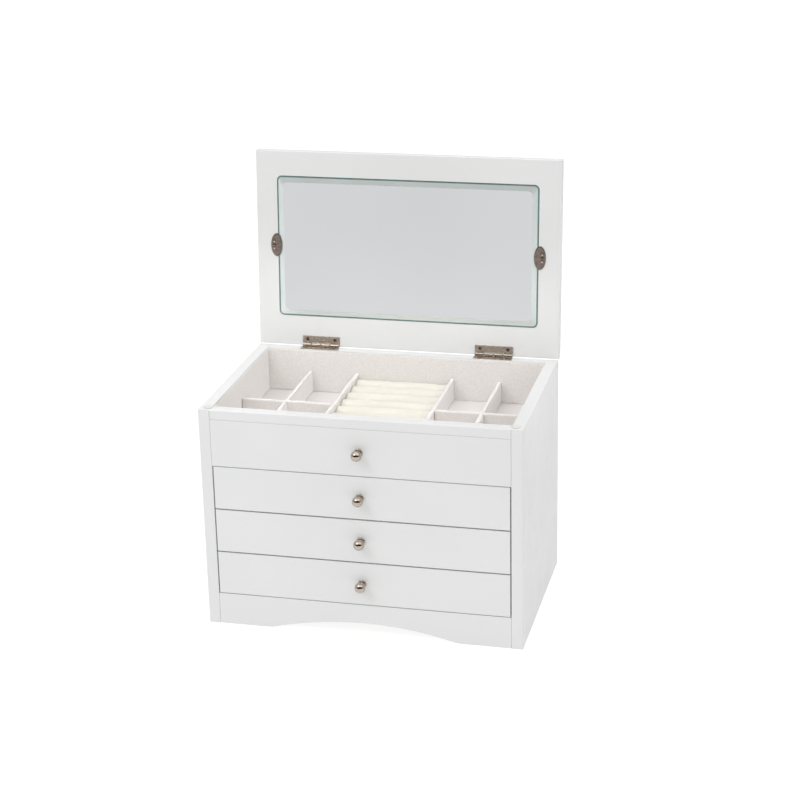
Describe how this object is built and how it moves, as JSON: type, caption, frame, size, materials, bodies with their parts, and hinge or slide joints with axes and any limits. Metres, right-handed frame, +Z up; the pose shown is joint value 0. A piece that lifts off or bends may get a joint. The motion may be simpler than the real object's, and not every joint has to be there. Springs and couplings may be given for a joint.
{
  "type": "jewelry box",
  "caption": "White jewelry box with sliding drawers below a felt-lined tray with ring rolls, and a hinged lid with a bevelled mirror inside.",
  "frame": {"origin": "on the floor, at the middle of the box that bounds the object as it stands with its lid open", "axes": "+Z up; -Y towards the drawer fronts; +X to the right of someone facing the fronts"},
  "size_m": [0.33, 0.2534, 0.447],
  "materials": {
    "white_lacquer": "satin white lacquer on fibreboard",
    "inner_board": "matte white lacquer on fibreboard",
    "felt": "short pale grey flocked felt",
    "ring_roll_velvet": "ivory brushed velvet over foam",
    "nickel": "warm antique nickel plate, polished on the knobs",
    "mirror_glass": "bevelled silvered glass",
    "clear_rubber": "clear soft polyurethane"
  },
  "bodies": {
    "cabinet": {"back_panel": "white_lacquer", "base_panel": "inner_board", "cross_divider_left": "felt", "cross_divider_right": "felt", "drawer_runners": "inner_board", "false_drawer_front": "white_lacquer", "false_front_knob": "nickel", "false_front_knob_screw": "nickel", "front_apron": "white_lacquer", "front_top_rail": "white_lacquer", "hinge_body_screws": "nickel", "hinge_left_body_leaf": "nickel", "hinge_pins": "nickel", "hinge_right_body_leaf": "nickel", "left_side_panel": "white_lacquer", "right_side_panel": "white_lacquer", "rim_bumpers": "clear_rubber", "ring_rolls": "ring_roll_velvet", "tray_divider_left_inner": "felt", "tray_divider_left_outer": "felt", "tray_divider_right_inner": "felt", "tray_divider_right_outer": "felt", "tray_floor_board": "inner_board", "tray_floor_felt": "felt", "tray_liner_back": "felt", "tray_liner_front": "felt", "tray_liner_left": "felt", "tray_liner_right": "felt"},
    "lid": {"hinge_left_lid_leaf": "nickel", "hinge_lid_screws": "nickel", "hinge_right_lid_leaf": "nickel", "lid_board": "white_lacquer", "mirror": "mirror_glass", "mirror_clip_left": "nickel", "mirror_clip_right": "nickel", "mirror_clip_screws": "nickel"},
    "drawer_1": {"drawer_1_back": "inner_board", "drawer_1_bottom": "inner_board", "drawer_1_felt_liner": "felt", "drawer_1_front": "white_lacquer", "drawer_1_knob": "nickel", "drawer_1_knob_screw": "nickel", "drawer_1_left_side": "inner_board", "drawer_1_right_side": "inner_board"},
    "drawer_2": {"drawer_2_back": "inner_board", "drawer_2_bottom": "inner_board", "drawer_2_felt_liner": "felt", "drawer_2_front": "white_lacquer", "drawer_2_knob": "nickel", "drawer_2_knob_screw": "nickel", "drawer_2_left_side": "inner_board", "drawer_2_right_side": "inner_board"},
    "drawer_3": {"drawer_3_back": "inner_board", "drawer_3_bottom": "inner_board", "drawer_3_felt_liner": "felt", "drawer_3_front": "white_lacquer", "drawer_3_knob": "nickel", "drawer_3_knob_screw": "nickel", "drawer_3_left_side": "inner_board", "drawer_3_right_side": "inner_board"}
  },
  "joints": [
    {"name": "lid_hinge", "type": "hinge", "parent": "cabinet", "child": "lid", "pos_m": [0, 0.09827, 0.2369], "axis": [1, 0, 0], "range_deg": [0, 94.7]},
    {"name": "drawer_1_slide", "type": "slide", "parent": "cabinet", "child": "drawer_1", "axis": [0, -1, 0], "range_m": [0, 0.15]},
    {"name": "drawer_2_slide", "type": "slide", "parent": "cabinet", "child": "drawer_2", "axis": [0, -1, 0], "range_m": [0, 0.15]},
    {"name": "drawer_3_slide", "type": "slide", "parent": "cabinet", "child": "drawer_3", "axis": [0, -1, 0], "range_m": [0, 0.15]}
  ]
}
